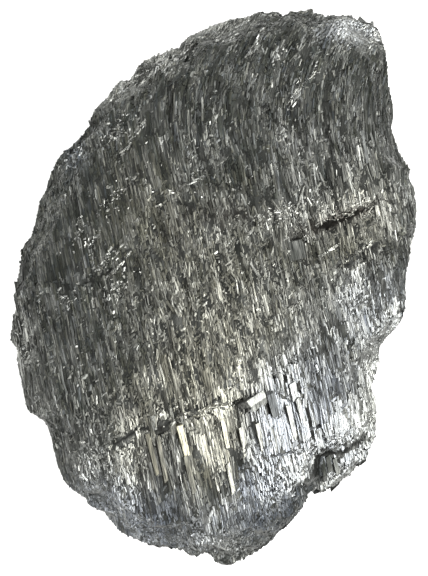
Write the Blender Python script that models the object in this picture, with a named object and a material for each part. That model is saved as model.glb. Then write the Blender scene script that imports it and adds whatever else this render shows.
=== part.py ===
"""An andorite specimen: one slab of parallel metallic laths, broken out of a vein.

It lies on a broad flat break. +Z is up and +Y runs along the specimen, close to the way that its
laths run. The origin is under the middle of the outline, on the surface that the specimen rests on.
"""

import math
import random

import bmesh
import bpy
from mathutils import Vector, noise

MM = 0.001

# Driving dimensions, in millimetres. The outline is drawn at LENGTH 50 and is scaled with it.
LENGTH = 50.0
CROWN_HEIGHT = 13.5
DRAWN_LENGTH = 50.0

# The laths lean back by LATH_LEAN for each millimetre along the specimen, and past BEND_START
# they curl over to the right.
LATH_LEAN = math.tan(math.radians(12))
BEND_START = 12.5
LATH_CURL = 0.034
LATH_WIDTH = 1.0
LATH_LENGTH = (1.8, 5.2)
BREAK_SLOPE = (0.05, 0.6)
GROOVE_WIDTH = 0.11
LATH_LIFT = (0.08, 0.66)
LATH_ROLL = 0.3
LATH_PITCH = 0.05

# The widest outline, seen from above, as stretches: the width of the rounded rim, then the corners.
OUTLINE = {
    "upper_left": (
        2.6,
        [(-15.2, 8.7), (-14.9, 9.8), (-13.8, 12.2), (-13.0, 12.9), (-11.2, 14.6), (-10.3, 16.3),
         (-9.3, 17.4), (-8.4, 18.6), (-7.6, 18.6), (-6.9, 19.7), (-6.1, 20.6), (-4.8, 21.1),
         (-3.4, 21.4), (-2.6, 22.5), (-1.5, 23.2), (-0.4, 23.6)],
    ),
    "top": (
        1.4,
        [(2.2, 24.2), (3.0, 24.3), (3.6, 24.8), (5.1, 24.9), (5.9, 24.4), (6.8, 25.0), (8.4, 24.8),
         (9.0, 24.2), (9.5, 24.6), (10.2, 24.1)],
    ),
    "top_right": (
        2.5,
        [(11.1, 24.7), (12.2, 24.8), (12.9, 24.2), (14.2, 23.6), (15.0, 22.6), (15.4, 21.6)],
    ),
    "right": (
        1.3,
        [(15.6, 19.9), (16.1, 16.9), (16.1, 15.8), (15.9, 14.6), (16.2, 13.2), (16.7, 11.8),
         (17.6, 10.5), (18.1, 8.8), (18.3, 7.3), (18.4, 5.8), (18.1, 4.6), (17.7, 3.7), (17.6, 2.1),
         (17.3, 0.0), (17.3, -1.2), (17.1, -1.6), (17.2, -2.4), (16.9, -3.2)],
    ),
    "waist": (
        1.6,
        [(15.9, -4.2), (15.0, -5.3), (14.8, -6.2), (14.1, -7.6), (14.0, -8.8), (14.2, -9.5)],
    ),
    "terrace": (
        1.2,
        [(14.6, -10.4), (14.7, -11.6), (14.6, -12.7), (14.4, -13.7), (13.9, -15.3), (13.6, -16.1),
         (12.7, -16.8), (11.5, -17.6), (10.5, -18.0), (9.6, -18.6), (8.9, -18.5)],
    ),
    "foot": (
        2.2,
        [(8.4, -19.1), (7.8, -20.0), (6.9, -21.0), (5.8, -22.1), (5.2, -23.1), (4.3, -23.7),
         (2.5, -24.4), (1.3, -25.0), (0.6, -24.9), (-0.1, -24.3), (-1.2, -24.0), (-2.1, -24.3),
         (-3.0, -23.5), (-3.8, -23.7), (-6.4, -23.3), (-7.7, -22.7), (-8.8, -22.1)],
    ),
    "lower_left": (
        1.8,
        [(-9.7, -21.3), (-10.3, -20.1), (-11.6, -19.3), (-12.8, -18.6), (-13.7, -17.6),
         (-14.3, -16.3), (-14.7, -14.8), (-15.0, -13.2), (-15.7, -11.8), (-16.8, -11.0),
         (-17.3, -9.6)],
    ),
    "left": (
        1.7,
        [(-17.8, -6.8), (-17.4, -5.9), (-17.4, -5.1), (-18.2, -4.7), (-17.9, -2.4), (-18.3, -0.9),
         (-18.2, 0.2), (-17.9, 1.7), (-17.6, 3.4), (-16.7, 4.6), (-16.2, 6.2), (-15.9, 7.4)],
    ),
}

# Steps across the laths: the line's two ends, the drop on its near side, and how far that side takes
# to climb back. A terrace never climbs back.
NEVER = 1e6
LEDGES = {
    "long_crack": ((-11.8, -14.9), (3.0, -9.7), 0.85, 7.0),
    "shoulder_step": ((6.9, 4.3), (16.6, 8.5), 0.75, 5.0),
    "side_step": ((10.3, 1.7), (17.4, 3.5), 0.6, 3.5),
    "waist_step": ((9.8, -8.0), (14.2, -7.2), 0.45, 3.0),
    "left_step": ((-12.4, -0.6), (-6.6, 4.0), 0.5, 4.0),
    "terrace_wall": ((8.3, -14.7), (15.2, -11.5), 3.4, NEVER),
}
LEDGE_RUN = 0.32
LEDGE_END_FADE = 1.2

# Hollows where laths have dropped out: centre, radius and depth.
PITS = [
    ((2.8, -11.0), 0.9, 1.7),
    ((7.6, 3.6), 0.8, 0.9),
    ((13.6, 2.0), 1.2, 1.0),
    ((7.5, -0.6), 0.7, 0.8),
    ((8.6, -15.8), 1.4, 0.9),
    ((-9.8, 7.9), 0.9, 0.8),
    ((-3.6, 9.6), 0.8, 0.6),
]

# Crystals that stand out of the face: centre, reach and added height.
STOUT_CRYSTALS = {
    "by_pit": ((4.1, -10.2), 1.0, 1.0),
    "pale": ((6.4, -8.6), 0.9, 0.5),
    "centre": ((7.9, -1.0), 0.9, 0.5),
}

# Rings of the flank, from the base up: height as a share of the top face's, inset from the widest
# outline, the share of the rim's width added to that inset, and how far the ring draws in where the
# wall leans out, or in where this is negative. The widest outline is at one of the middle rings.
FLANK_RINGS = [
    (0.0, 1.9, 0.3, 0.0),
    (0.1, 1.1, 0.3, 0.0),
    (0.25, 0.5, 0.1, 2.6),
    (0.36, 0.0, 0.0, 2.6),
    (0.58, 0.0, 0.0, -2.6),
    (0.68, 0.4, 0.2, -2.6),
    (0.86, 0.7, 0.4, 0.0),
]
RIM_DROP = 0.75
LEAN_LENGTH = 5.0

# The flank's unevenness in and out, and up and down, at this length. Its blocks have a length and a
# reach of their own each way.
ROUGH_LENGTH = 2.0
ROUGH_INSET = 0.75
ROUGH_HEIGHT = 0.8
INSET_BLOCK = (3.2, 0.35)
HEIGHT_BLOCK = (4.5, 1.0)
FLANK_PLATE_SHARE = 0.45
FLANK_PLATE_LIFT = (0.15, 0.5)
FLANK_GROOVE = 0.12

# The base is cut into wide laths. Some have dropped out, apart from those near the middle.
BASE_LATH_WIDTH = 2.3
BASE_LATH_LENGTH = (4.0, 9.0)
BASE_HOLLOW = (0.15, 0.5)
BASE_HOLLOW_SHARE = 0.45
BASE_SOUND_RADIUS = 5.0

# The line that the rings shrink towards.
SPINE = (Vector((-1.5, -11.0)), Vector((3.5, 12.0)))

METAL_COLOUR = (0.145, 0.148, 0.146, 1.0)


def smoothstep(low, high, value):
    """0 below low, 1 above high, and an even blend between."""
    t = min(1.0, max(0.0, (value - low) / (high - low)))
    return t * t * (3 - 2 * t)


def bend(y):
    """How far a lath has moved sideways at this distance along the specimen."""
    return -LATH_LEAN * y + LATH_CURL * max(0.0, y - BEND_START) ** 2


def ledge_line(ledge):
    """A step's line once the laths are straightened: its two ends across them, start and slope."""
    (x0, y0), (x1, y1), _, _ = ledge
    low, high = x0 - bend(y0), x1 - bend(y1)
    slope = (y1 - y0) / (high - low)
    return low, high, y0 - slope * low, slope


def ledge_drop(ledge, x, y):
    """How far a step lowers the face at this point."""
    _, _, drop, climb = ledge
    low, high, start, slope = ledge_line(ledge)
    across = x - bend(y)
    below = start + slope * across - y
    if below <= 0:
        return 0.0
    fade = smoothstep(-LEDGE_END_FADE, LEDGE_END_FADE, min(across - low, high - across))
    return drop * fade * smoothstep(0.0, LEDGE_RUN, below) * math.exp(-below / climb)


def top_height(x, y):
    """The height of the broken top face, without its laths."""
    left, right = min(0.0, x - 3.0), max(0.0, x - 5.0)
    foot, head = min(0.0, y + 9.0), max(0.0, y - 13.0)
    height = CROWN_HEIGHT - 0.0062 * left**2 - 0.006 * right**2 - 0.009 * foot**2 - 0.008 * head**2
    height += 0.7 * noise.noise(Vector((x / 7.0, y / 10.0, 0.0)))
    height += 0.25 * noise.noise(Vector((x / 2.2, y / 4.5, 7.0)))
    height -= sum(ledge_drop(ledge, x, y) for ledge in LEDGES.values())
    for (px, py), radius, depth in PITS:
        height -= depth * math.exp(-(((x - px) ** 2 + (y - py) ** 2) / radius**2))
    return height


def outline_points():
    """The corners anticlockwise, each with the width of the rim there, evened out along the ring."""
    corners = [(Vector(p), rim) for rim, stretch in OUTLINE.values() for p in stretch]
    corners.reverse()
    count = len(corners)
    reach = range(-3, 4)
    return [
        (corner, sum(corners[(i + k) % count][1] for k in reach) / len(reach))
        for i, (corner, _) in enumerate(corners)
    ]


def towards_spine(point, distance):
    """The point moved straight towards the nearest point of the spine."""
    start, end = SPINE
    along = end - start
    share = min(1.0, max(0.0, (point - start).dot(along) / along.length_squared))
    nearest = start + along * share
    return point + (nearest - point).normalized() * distance


def unevenness(corner, length, level):
    """Even noise from -1 to 1 along the flank."""
    return noise.noise(Vector((corner.x / length, corner.y / length, level)))


def block_value(corner, block, level):
    """How far this corner's block of the flank stands out. Blocks have edges, so it jumps there."""
    length, reach = block
    return reach * noise.cell(Vector((corner.x / length, corner.y / length, level)))


def ring_vertex(bm, corner, rim, height_share, inset, rim_share, lean, level):
    """One corner of one flank ring, with the unevenness and the blocks of a broken flank."""
    inset += rim_share * rim + max(0.0, lean * unevenness(corner, LEAN_LENGTH, 3.0))
    if inset:
        inset += ROUGH_INSET * (1.0 + 0.3 * inset) * unevenness(corner, ROUGH_LENGTH, 1.7 * level)
        inset = max(0.0, inset + block_value(corner, INSET_BLOCK, level))
    at = towards_spine(corner, inset)
    height = top_height(corner.x, corner.y) * height_share
    if level:
        height += ROUGH_HEIGHT * unevenness(corner, ROUGH_LENGTH, 20.0 + level)
        height += block_value(corner, HEIGHT_BLOCK, 40.0 + level // 2)
    return bm.verts.new((at.x, at.y, max(0.0, height)))


def shell(bm):
    """The closed body: a flat base, the rings of its flank, and one large face on top."""
    outline = outline_points()
    rings = [
        [ring_vertex(bm, corner, rim, *ring, level) for corner, rim in outline]
        for level, ring in enumerate(FLANK_RINGS)
    ]
    rim_ring = []
    for corner, rim in outline:
        at = towards_spine(corner, rim + 0.35)
        rim_ring.append(bm.verts.new((at.x, at.y, top_height(at.x, at.y) - RIM_DROP)))
    rings.append(rim_ring)
    count = len(outline)
    flank = [
        [bm.faces.new((lower[i], lower[(i + 1) % count], upper[(i + 1) % count], upper[i]))
         for i in range(count)]
        for lower, upper in zip(rings, rings[1:])
    ]
    base = bm.faces.new(list(reversed(rings[0])))
    cap = bm.faces.new(rings[-1])
    return flank, base, cap


def slice_faces(bm, faces, place, normal):
    """Cuts these faces by an upright plane, and returns all of the pieces."""
    geometry = set(faces)
    for face in faces:
        geometry.update(face.edges, face.verts)
    made = bmesh.ops.bisect_plane(
        bm, geom=list(geometry), dist=1e-4, plane_co=place, plane_no=normal
    )
    return [item for item in made["geom"] if isinstance(item, bmesh.types.BMFace)]


def break_lines(low, high, length, steps, rng):
    """Where the laths between low and high are broken: both edges of each step, and others."""
    lines = []
    for step in steps:
        first, last, start, slope = ledge_line(step)
        if first < (low + high) / 2 < last:
            lines += [(start, slope), (start - LEDGE_RUN, slope)]
    middle = (low + high) / 2
    crossings = [start + slope * middle for start, slope in lines]
    at = -28.0 + rng.uniform(0.0, length[1])
    while at < 28.0:
        if all(abs(at - crossing) > 0.8 for crossing in crossings):
            slope = rng.uniform(*BREAK_SLOPE)
            lines.append((at - slope * middle, slope))
        at += rng.uniform(*length)
    return lines


def cut_into_laths(bm, face, width, length, steps, rng):
    """Cuts a face along the laths and across their breaks. The body is straightened first, so that
    each lath's side is a plane, and is bent back afterwards."""
    for vert in bm.verts:
        vert.co.x -= bend(vert.co.y)
    edges = [-26.0]
    while edges[-1] < 26.0:
        edges.append(edges[-1] + width * rng.uniform(0.6, 1.45))
    pieces = [face]
    for edge in edges:
        pieces = slice_faces(bm, pieces, (edge, 0.0, 0.0), (1.0, 0.0, 0.0))
    cells = []
    while len(edges) > 1:
        bundle = rng.choice((1, 1, 2, 2, 3))
        low, high = edges[0], edges[min(bundle, len(edges) - 1)]
        edges = edges[min(bundle, len(edges) - 1):]
        inside = [piece for piece in pieces if low < piece.calc_center_median().x < high]
        for start, slope in break_lines(low, high, length, steps, rng):
            if inside:
                inside = slice_faces(bm, inside, (0.0, start, 0.0), (-slope, 1.0, 0.0))
        cells += inside
    for vert in bm.verts:
        vert.co.x += bend(vert.co.y)
    return cells


def settle_on_relief(cells):
    """Puts the corners of the cut face on the relief, apart from those along the rim."""
    for vert in {vert for cell in cells for vert in cell.verts}:
        if all(face in cells for face in vert.link_faces):
            vert.co.z = top_height(vert.co.x, vert.co.y)


def raise_plates(bm, plates, thickness, choose_lift, roll, pitch, rng):
    """Insets each face and pushes the middle out, which leaves a crystal with bevelled sides."""
    bmesh.ops.inset_individual(bm, faces=plates, thickness=thickness, use_even_offset=True)
    along = Vector((-LATH_LEAN, 1.0, 0.0)).normalized()
    across = Vector((along.y, -along.x, 0.0))
    for plate in plates:
        normal, middle = plate.normal.copy(), plate.calc_center_median()
        lean = across * rng.uniform(-roll, roll) + along * rng.uniform(-pitch, pitch)
        lift = choose_lift(middle)
        for vert in plate.verts:
            vert.co += normal * (lift + lean.dot(vert.co - middle))


def room_inside(face):
    """About the radius of the largest circle that fits in the face."""
    return 2 * face.calc_area() / face.calc_perimeter()


def stout_height(middle):
    """How much a stout crystal adds to the lath that it grows on."""
    return sum(
        height for centre, reach, height in STOUT_CRYSTALS.values()
        if (middle.xy - Vector(centre)).length < reach
    )


def raise_laths(bm, cells, rng):
    """Gives each cell of the top face its own height, in runs along a lath."""
    runs = {}

    def lift(middle):
        column = round((middle.x - bend(middle.y)) / LATH_WIDTH)
        run = runs.setdefault(column, [0, 0.0])
        if run[0] == 0:
            run[:] = [rng.choice((1, 1, 2, 3)), rng.uniform(*LATH_LIFT)]
        run[0] -= 1
        return run[1] + rng.uniform(-0.04, 0.04) + stout_height(middle)

    wide = [cell for cell in cells if room_inside(cell) > 2.2 * GROOVE_WIDTH]
    wide.sort(key=lambda cell: cell.calc_center_median().y)
    raise_plates(bm, wide, GROOVE_WIDTH, lift, LATH_ROLL, LATH_PITCH, rng)


def hollow_base(bm, cells, rng):
    """Pushes some cells of the base in, where laths stayed behind in the vein."""
    lost = [
        cell for cell in cells
        if rng.random() < BASE_HOLLOW_SHARE
        and room_inside(cell) > 0.5
        and cell.calc_center_median().xy.length > BASE_SOUND_RADIUS
    ]
    raise_plates(bm, lost, 0.2, lambda middle: -rng.uniform(*BASE_HOLLOW), 0.0, 0.0, rng)


def raise_flank_plates(bm, flank, rng):
    """Pushes out runs of the flank's facets: along the sides of the laths, and alone at their ends."""
    for row in flank[1:]:
        i = 0
        while i < len(row):
            sideways = abs(row[i].normal.x) > 0.7
            run = row[i:i + (rng.choice((2, 3, 4)) if sideways else 1)]
            i += len(run)
            if rng.random() < FLANK_PLATE_SHARE and min(room_inside(face) for face in run) > 0.3:
                bmesh.ops.inset_region(
                    bm, faces=run, thickness=FLANK_GROOVE, depth=rng.uniform(*FLANK_PLATE_LIFT),
                    use_even_offset=True, use_boundary=True,
                )


def centre_on_base(bm):
    """Moves the body so that the origin is under the middle of its box, at its lowest point."""
    xs, ys, zs = zip(*(vert.co for vert in bm.verts))
    middle = Vector(((min(xs) + max(xs)) / 2, (min(ys) + max(ys)) / 2, min(zs)))
    for vert in bm.verts:
        vert.co -= middle


def metal():
    """Grey sulphosalt metal with a dull lustre."""
    material = bpy.data.materials.new("andorite_metal")
    material.use_nodes = True
    shader = material.node_tree.nodes["Principled BSDF"]
    shader.inputs["Base Color"].default_value = METAL_COLOUR
    shader.inputs["Metallic"].default_value = 1.0
    shader.inputs["Roughness"].default_value = 0.42
    return material


def main():
    for old in list(bpy.data.objects):
        bpy.data.objects.remove(old)
    rng = random.Random(11)
    bm = bmesh.new()
    flank, base, cap = shell(bm)
    cells = cut_into_laths(bm, cap, LATH_WIDTH, LATH_LENGTH, LEDGES.values(), rng)
    settle_on_relief(set(cells))
    base_cells = cut_into_laths(bm, base, BASE_LATH_WIDTH, BASE_LATH_LENGTH, (), rng)
    bm.normal_update()
    raise_laths(bm, cells, rng)
    hollow_base(bm, base_cells, rng)
    raise_flank_plates(bm, flank, rng)
    centre_on_base(bm)
    bmesh.ops.scale(bm, vec=(MM * LENGTH / DRAWN_LENGTH,) * 3, verts=bm.verts[:])
    mesh = bpy.data.meshes.new("andorite_specimen")
    bmesh.ops.triangulate(bm, faces=bm.faces[:])
    bm.to_mesh(mesh)
    bm.free()
    specimen = bpy.data.objects.new("andorite_specimen", mesh)
    specimen.data.materials.append(metal())
    bpy.context.scene.collection.objects.link(specimen)


main()
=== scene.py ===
"""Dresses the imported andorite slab: its crystals, its metal and a plain pale studio around it."""

import math
from collections import namedtuple

import bpy
import numpy as np
from mathutils import Matrix, Vector, noise
from mathutils.bvhtree import BVHTree


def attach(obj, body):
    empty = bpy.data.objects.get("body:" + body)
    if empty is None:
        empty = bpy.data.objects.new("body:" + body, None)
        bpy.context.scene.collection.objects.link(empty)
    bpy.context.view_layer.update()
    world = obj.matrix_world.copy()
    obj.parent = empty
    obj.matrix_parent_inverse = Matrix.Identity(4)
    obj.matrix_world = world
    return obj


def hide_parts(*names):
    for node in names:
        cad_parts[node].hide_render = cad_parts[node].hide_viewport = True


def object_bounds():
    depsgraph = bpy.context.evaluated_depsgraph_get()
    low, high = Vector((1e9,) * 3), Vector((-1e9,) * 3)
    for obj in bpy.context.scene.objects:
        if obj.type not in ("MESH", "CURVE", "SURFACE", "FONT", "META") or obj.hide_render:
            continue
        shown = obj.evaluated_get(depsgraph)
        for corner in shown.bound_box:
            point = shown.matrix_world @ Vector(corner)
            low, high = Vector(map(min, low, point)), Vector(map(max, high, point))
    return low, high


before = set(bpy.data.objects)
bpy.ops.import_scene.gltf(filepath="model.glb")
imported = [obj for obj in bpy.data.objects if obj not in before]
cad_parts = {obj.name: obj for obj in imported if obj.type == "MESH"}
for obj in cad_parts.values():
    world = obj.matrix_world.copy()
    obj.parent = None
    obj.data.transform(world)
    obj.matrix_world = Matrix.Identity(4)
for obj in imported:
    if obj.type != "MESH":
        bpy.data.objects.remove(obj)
CAD_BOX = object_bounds()

bl_info = {
    "name": "Andorite Specimen",
    "version": (1, 0, 0),
    "blender": (4, 5, 0),
    "location": "View3D > Sidebar > Andorite",
    "description": "Builds the crystals and metal of a broken andorite slab, and a pale studio",
    "category": "Add Mesh",
}

MM = 0.001
NODE = "andorite_specimen"
BODY = "slab_body"
METAL = "striated_sulphide"

# The laths lean back along the slab, and curl over to the right near its head. These are the
# same directions as in the solid.
LATH_LEAN = math.tan(math.radians(12))
BEND_START = 12.5
LATH_CURL = 0.034

# Places for crystals are tried this far from the slab's middle, across it and along it, in
# millimetres, and rays that look for its upper side start this high.
HALF_WIDTH = 19.0
HALF_LENGTH = 26.0
RAY_START = 40.0

# A lath on the upper side is cut in two where the face under it rises by more than this share of
# its length, or where its middle is this far off its ends' line. Short laths may be steeper. The
# heights are read a little inside its ends. All lengths are in millimetres.
STEEPEST = 0.6
SHORT_LATH = 0.45
STEEPEST_SHORT = 1.1
BULGE = 0.07
END_MARGIN = 0.12
SHORTEST_CUT = 0.2
CUT_ROUNDS = 5

# How much the lengths of like crystals vary, as the spread of their logarithms.
LENGTH_SPREAD = 0.45

# A lath is this much wider than its row, at least this deep in millimetres, and this share of its
# width at its underside.
OVERLAP = 1.12
LEAST_DEPTH = 0.3
UNDERSIDE_SHARE = 0.85

# How far the body stays inside the solid's box, in millimetres, at its low and at its high sides,
# so that the crystals on it stay in the box too.
LATH_ROOM = ((0.1, 0.1, 0.0), (0.1, 0.1, 0.35))

# The dulling of usual metal, where 0 is fresh and 1 fully dulled. The shares of crystals that are
# cleaner, and that are darkened by grime, than those round them.
USUAL_DULLING = 0.45
CLEAN_SHARE = 0.08
GRIMY_SHARE = 0.14

# The headings of crystals that lie across the laths, and of chips, in degrees from +X, each with
# its spread. Chips along an edge follow it, and are this much longer than others.
CROSS_HEADING = (55.0, 28.0)
CHIP_HEADING = (52.0, 30.0)
EDGE_CHIP_SPREAD = 12.0
EDGE_CHIP_LENGTH = 1.8

# The sides are faces whose outward direction rises by less than this, and falls by less than
# this, and that lie this high above the floor, in millimetres.
SIDE_RISE = 0.57
SIDE_FALL = 0.97
SIDE_FOOT = 0.1

# How far narrow and thick laths stand out from the sides, and the height below which thick ones
# do, so that none is at the rim, in millimetres.
LATH_POKE = 0.09
BLOCK_POKE = 0.12
BLOCK_TOP = 5.0

# How fast a zone fades out, and how many of its half widths a crevice reaches to.
ZONE_FADE = 0.7
CREVICE_REACH = 1.6

# Patterns of noise: the size of a patch across the laths and along them, in millimetres, and where
# the pattern is read in the noise, so that no two are alike. The gain brings them to about -1 to 1.
PATTERNS = {
    "bundles": (0.6, 2.2, 17.0),
    "wide_bundles": (3.0, 6.0, 34.0),
    "dulling": (0.7, 3.0, 51.0),
    "slots": (0.22, 1.4, 68.0),
    "lift": (0.7, 2.2, 85.0),
    "crossing": (2.0, 2.0, 102.0),
    "painted_side_shade": (1.3, 1.3, 136.0),
}
PATTERN_GAIN = 1.6

# Each group of crystals draws its own random numbers, from these seeds.
SEEDS = {
    "fine_laths": 3,
    "coarse_laths": 5,
    "cross_crystals": 13,
    "single_crystals": 17,
    "bright_chips": 7,
    "flank_laths": 9,
}

# The widest outline lies a little under half way up the slab. The picture's height holds there.
OUTLINE_HEIGHT = 0.45

# Striations and blotches of dulling to the millimetre: across the laths, along them and up. Real
# striations are finer still, and these are as coarse as they need to be to show.
STRIATIONS_PER_MM = (13.0, 0.7, 9.0)
BLOTCHES_PER_MM = (0.9, 0.35, 0.9)

# How deep a striation is, in metres.
GROOVE_DEPTH = 0.02 * MM

# The roller's mottle on the board, to the metre.
MOTTLES_PER_M = 60.0

# The room is evenly pale up to this height, where 1 is straight up.
HORIZON_TOP = 0.25

# A mix node's sockets for its two colours, and the one for the mixed colour.
MIX_FIRST = 6
MIX_SECOND = 7
MIX_RESULT = 2

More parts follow.
